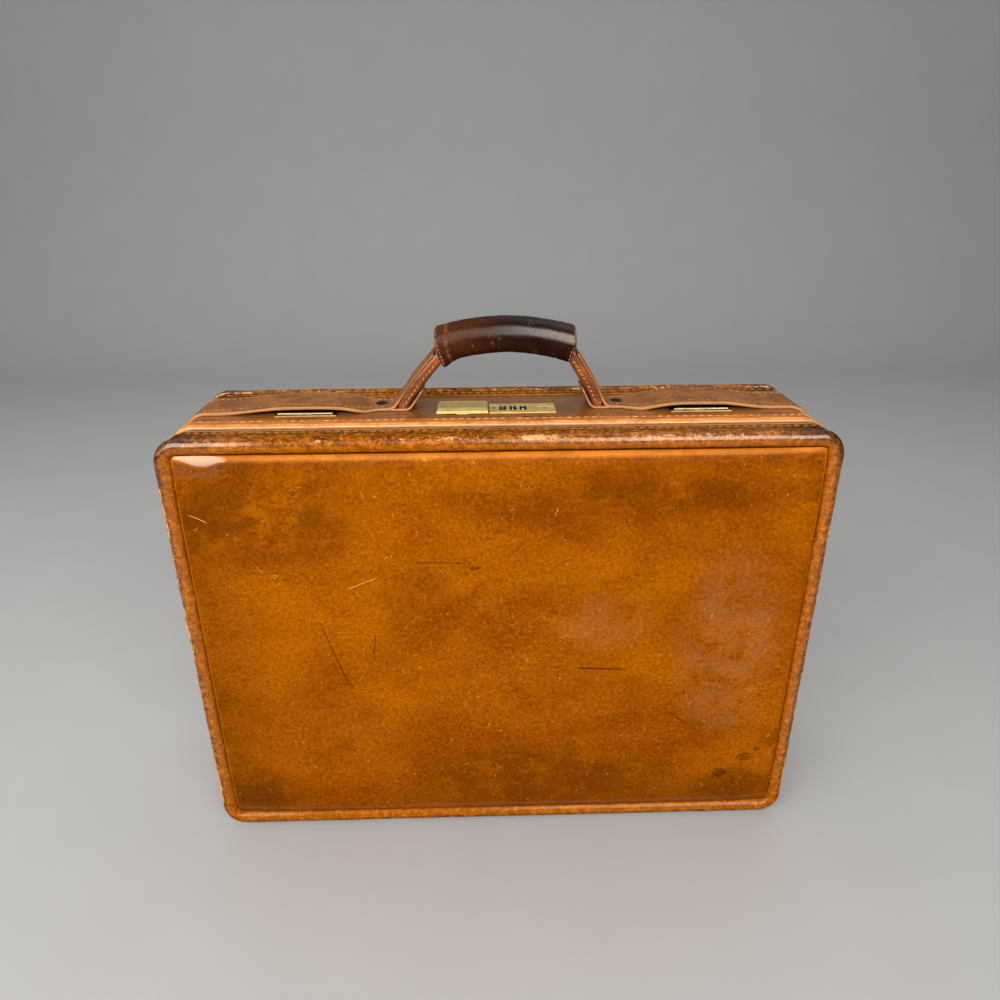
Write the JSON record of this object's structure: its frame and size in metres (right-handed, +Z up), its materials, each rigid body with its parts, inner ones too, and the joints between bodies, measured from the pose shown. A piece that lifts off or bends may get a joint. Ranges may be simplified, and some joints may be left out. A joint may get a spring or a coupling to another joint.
{
  "type": "attache case",
  "caption": "Hinged hard travel case of stitched leather over bentwood, with a top handle, strap-covered latches, a dial lock and a folding stay at each side.",
  "frame": {"origin": "middle of the underside, on the surface that the case stands on", "axes": "+X to the right as seen from the front (the lid's side), +Y from the lid towards the back, +Z up through the handle"},
  "size_m": [0.4592, 0.127, 0.399],
  "materials": {
    "panel_leather": "glossy waxed cognac belting leather, mottled",
    "rim_leather": "darker worn rolled leather, scuffed tan",
    "wall_leather": "waxed cognac leather, olive-brown on top",
    "strap_leather": "oiled brown strap leather with pale cut edges",
    "grip_leather": "polished dark mahogany leather, creased",
    "suede": "fawn brushed suede lining",
    "bentwood": "plain bentwood, unvarnished",
    "fibre_board": "hard fibre board",
    "brass_plate": "pale lacquered brass, lightly worn",
    "bright_steel": "zinc-plated sheet steel",
    "dark_steel": "blued dark steel",
    "black_dial": "black dials with white numbers"
  },
  "bodies": {
    "base": {"base_frame": "bentwood", "base_board": "fibre_board", "base_cover": "wall_leather", "base_binding": "wall_leather", "back_rim": "rim_leather", "back_panel": "panel_leather", "base_lining": "suede", "valance_strip": "strap_leather", "hinge_leaf_base": "brass_plate", "hinge_pin": "bright_steel", "hinge_screws_base": "bright_steel", "base_feet": "brass_plate", "strap_left": "strap_leather", "strap_right": "strap_leather", "strap_rivets": "dark_steel", "foot_cradle_left": "strap_leather", "foot_cradle_right": "strap_leather", "combination_plate": "brass_plate", "plate_pins": "bright_steel", "dial_axle": "bright_steel", "lock_case": "bright_steel", "mechanism_cover": "dark_steel", "bar_guides": "bright_steel", "lock_rivets": "dark_steel", "latch_bezel_left": "brass_plate", "latch_bezel_right": "brass_plate", "stay_brackets_base": "brass_plate", "return_spring": "bright_steel"},
    "lid": {"lid_frame": "bentwood", "lid_board": "fibre_board", "lid_cover": "wall_leather", "front_rim": "rim_leather", "front_panel": "panel_leather", "lid_lining": "suede", "document_pocket": "suede", "card_pockets": "strap_leather", "strike_left": "bright_steel", "strike_right": "bright_steel", "hinge_leaf_lid": "brass_plate", "hinge_screws_lid": "bright_steel", "lid_feet": "brass_plate", "stay_brackets_lid": "brass_plate"},
    "release": {"release_button": "brass_plate", "release_bar": "bright_steel", "latch_slide_left": "brass_plate", "latch_slide_right": "brass_plate"},
    "dial_a": {"dial_1": "black_dial"},
    "dial_b": {"dial_2": "black_dial"},
    "dial_c": {"dial_3": "black_dial"},
    "handle": {"handle_core": "strap_leather", "handle_grip": "grip_leather", "handle_ply_left": "strap_leather", "handle_ply_right": "strap_leather"},
    "base_arm_left": {"stay_arm_base_left": "brass_plate"},
    "lid_arm_left": {"stay_arm_lid_left": "brass_plate"},
    "base_arm_right": {"stay_arm_base_right": "brass_plate"},
    "lid_arm_right": {"stay_arm_lid_right": "brass_plate"}
  },
  "joints": [
    {"name": "lid_hinge", "type": "hinge", "parent": "base", "child": "lid", "pos_m": [0, -0.0325, 0.0052], "axis": [1, 0, 0], "range_deg": [0, 95]},
    {"name": "release_slide", "type": "slide", "parent": "base", "child": "release", "axis": [-1, 0, 0], "range_m": [0, 0.008], "stiffness_N_per_m": 400, "deforming": ["return_spring"]},
    {"name": "dial_a_spin", "type": "hinge", "parent": "base", "child": "dial_a", "pos_m": [0.0023, 0.006, 0.3285], "axis": [1, 0, 0], "continuous": true},
    {"name": "dial_b_spin", "type": "hinge", "parent": "base", "child": "dial_b", "pos_m": [0.0097, 0.006, 0.3285], "axis": [1, 0, 0], "continuous": true},
    {"name": "dial_c_spin", "type": "hinge", "parent": "base", "child": "dial_c", "pos_m": [0.0171, 0.006, 0.3285], "axis": [1, 0, 0], "continuous": true},
    {"name": "handle_tilt", "type": "hinge", "parent": "base", "child": "handle", "pos_m": [0, 0.017, 0.3385], "axis": [1, 0, 0], "range_deg": [-30, 30], "stiffness_Nm_per_rad": 1.2},
    {"name": "stay_base_left", "type": "hinge", "parent": "base", "child": "base_arm_left", "pos_m": [-0.2127, 0.0275, 0.0452], "axis": [1, 0, 0], "range_deg": [0, 95]},
    {"name": "stay_elbow_left", "type": "hinge", "parent": "base_arm_left", "child": "lid_arm_left", "pos_m": [-0.2127, 0.0175, 0.1252], "axis": [1, 0, 0], "range_deg": [-95, 0]},
    {"name": "stay_base_right", "type": "hinge", "parent": "base", "child": "base_arm_right", "pos_m": [0.2127, 0.0275, 0.0452], "axis": [1, 0, 0], "range_deg": [0, 95]},
    {"name": "stay_elbow_right", "type": "hinge", "parent": "base_arm_right", "child": "lid_arm_right", "pos_m": [0.2127, 0.0175, 0.1252], "axis": [1, 0, 0], "range_deg": [-95, 0]}
  ],
  "couplings": [
    {"joint": "stay_base_left", "follows": "lid_hinge", "ratio": 1},
    {"joint": "stay_elbow_left", "follows": "lid_hinge", "ratio": -1},
    {"joint": "stay_base_right", "follows": "lid_hinge", "ratio": 1},
    {"joint": "stay_elbow_right", "follows": "lid_hinge", "ratio": -1}
  ]
}
